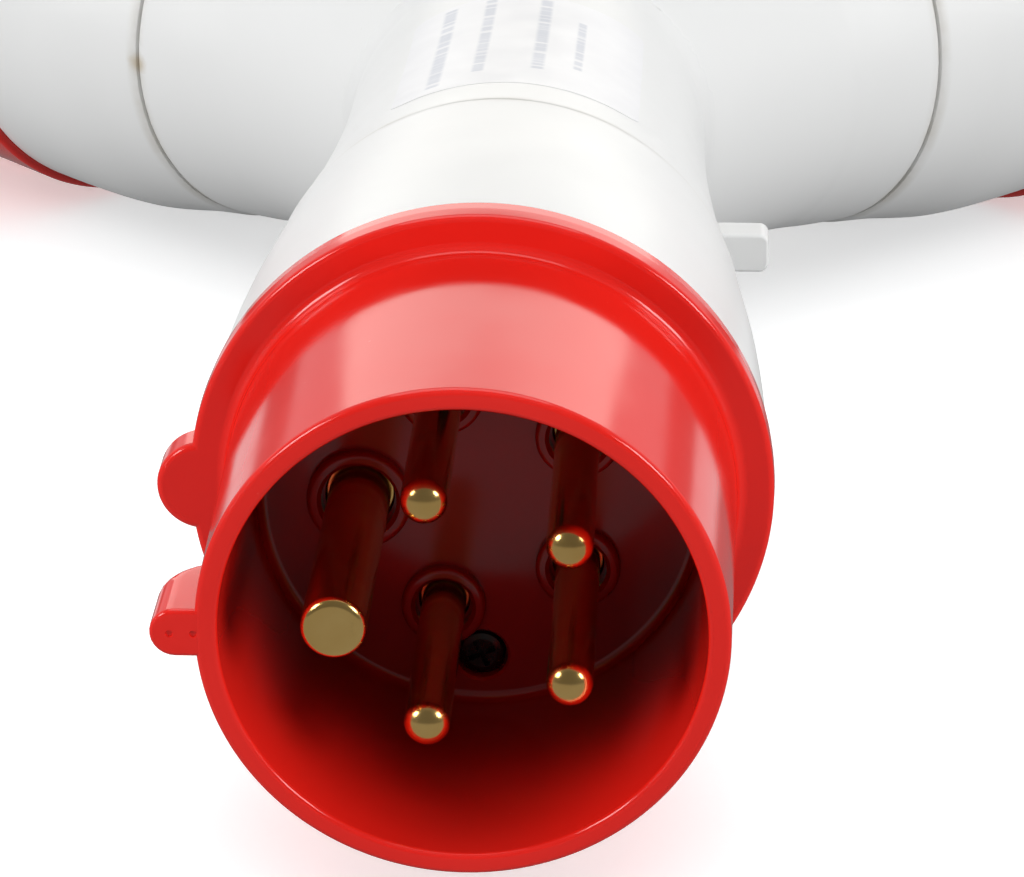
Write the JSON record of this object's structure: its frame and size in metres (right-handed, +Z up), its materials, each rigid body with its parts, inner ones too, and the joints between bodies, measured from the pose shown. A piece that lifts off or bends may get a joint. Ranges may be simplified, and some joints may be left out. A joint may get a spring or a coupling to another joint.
{
  "type": "two-way splitter with pin and sleeve plug and sockets",
  "caption": "Y-shaped mains splitter: a round pin and sleeve plug feeds two lidded sockets on arms swept back from a hollow hub.",
  "frame": {"origin": "on the plug's axis, in the plane of the collar's front face", "axes": "-Y out of the plug, +Y back to the hub and sockets, +X right, +Z up"},
  "size_m": [0.2404, 0.2979, 0.0775],
  "materials": {
    "red_plastic": "gloss",
    "white_plastic": "satin",
    "brass": "polished",
    "black_plastic": "matte",
    "black_steel": "blackened",
    "steel": "satin",
    "rubber": "matte",
    "label": "satin",
    "lead_green_yellow": "matte",
    "lead_brown": "matte",
    "lead_black": "matte",
    "lead_grey": "matte",
    "lead_blue": "matte"
  },
  "bodies": {
    "body": {"plug_shroud": "red_plastic", "earth_pin": "brass", "line_1_pin": "brass", "line_2_pin": "brass", "line_3_pin": "brass", "neutral_pin": "brass", "pin_retainer": "black_plastic", "shroud_screws": "black_steel", "plug_terminal_screws": "steel", "shroud_seal": "rubber", "neck_housing": "white_plastic", "hub_body": "white_plastic", "hub_label": "label", "left_earth_lead": "lead_green_yellow", "left_line_1_lead": "lead_brown", "left_line_2_lead": "lead_black", "left_line_3_lead": "lead_grey", "left_neutral_lead": "lead_blue", "right_earth_lead": "lead_green_yellow", "right_line_1_lead": "lead_brown", "right_line_2_lead": "lead_black", "right_line_3_lead": "lead_grey", "right_neutral_lead": "lead_blue", "left_socket_housing": "white_plastic", "left_housing_seal": "rubber", "left_socket_front": "red_plastic", "left_contact_carrier": "red_plastic", "left_earth_contact": "brass", "left_line_1_contact": "brass", "left_line_2_contact": "brass", "left_line_3_contact": "brass", "left_neutral_contact": "brass", "left_terminal_screws": "steel", "left_carrier_screws": "steel", "left_hinge_pin": "steel", "right_socket_housing": "white_plastic", "right_housing_seal": "rubber", "right_socket_front": "red_plastic", "right_contact_carrier": "red_plastic", "right_earth_contact": "brass", "right_line_1_contact": "brass", "right_line_2_contact": "brass", "right_line_3_contact": "brass", "right_neutral_contact": "brass", "right_terminal_screws": "steel", "right_carrier_screws": "steel", "right_hinge_pin": "steel"},
    "left_lid": {"left_lid": "red_plastic", "left_lid_gasket": "rubber", "left_lid_spring": "steel"},
    "right_lid": {"right_lid": "red_plastic", "right_lid_gasket": "rubber", "right_lid_spring": "steel"},
    "lock_tab": {"lock_tab": "white_plastic"}
  },
  "joints": [
    {"name": "left_lid_hinge", "type": "hinge", "parent": "body", "child": "left_lid", "pos_m": [-0.09157, 0.23157, 0.0376], "axis": [0.7071, 0.7071, 0], "range_deg": [0, 105], "stiffness_Nm_per_rad": 0.03, "springref_deg": -34.38},
    {"name": "right_lid_hinge", "type": "hinge", "parent": "body", "child": "right_lid", "pos_m": [0.09157, 0.23157, 0.0376], "axis": [0.7071, -0.7071, 0], "range_deg": [0, 105], "stiffness_Nm_per_rad": 0.03, "springref_deg": -34.38},
    {"name": "lock_tab_slide", "type": "slide", "parent": "body", "child": "lock_tab", "axis": [1, 0, 0], "range_m": [0, 0.004]}
  ]
}
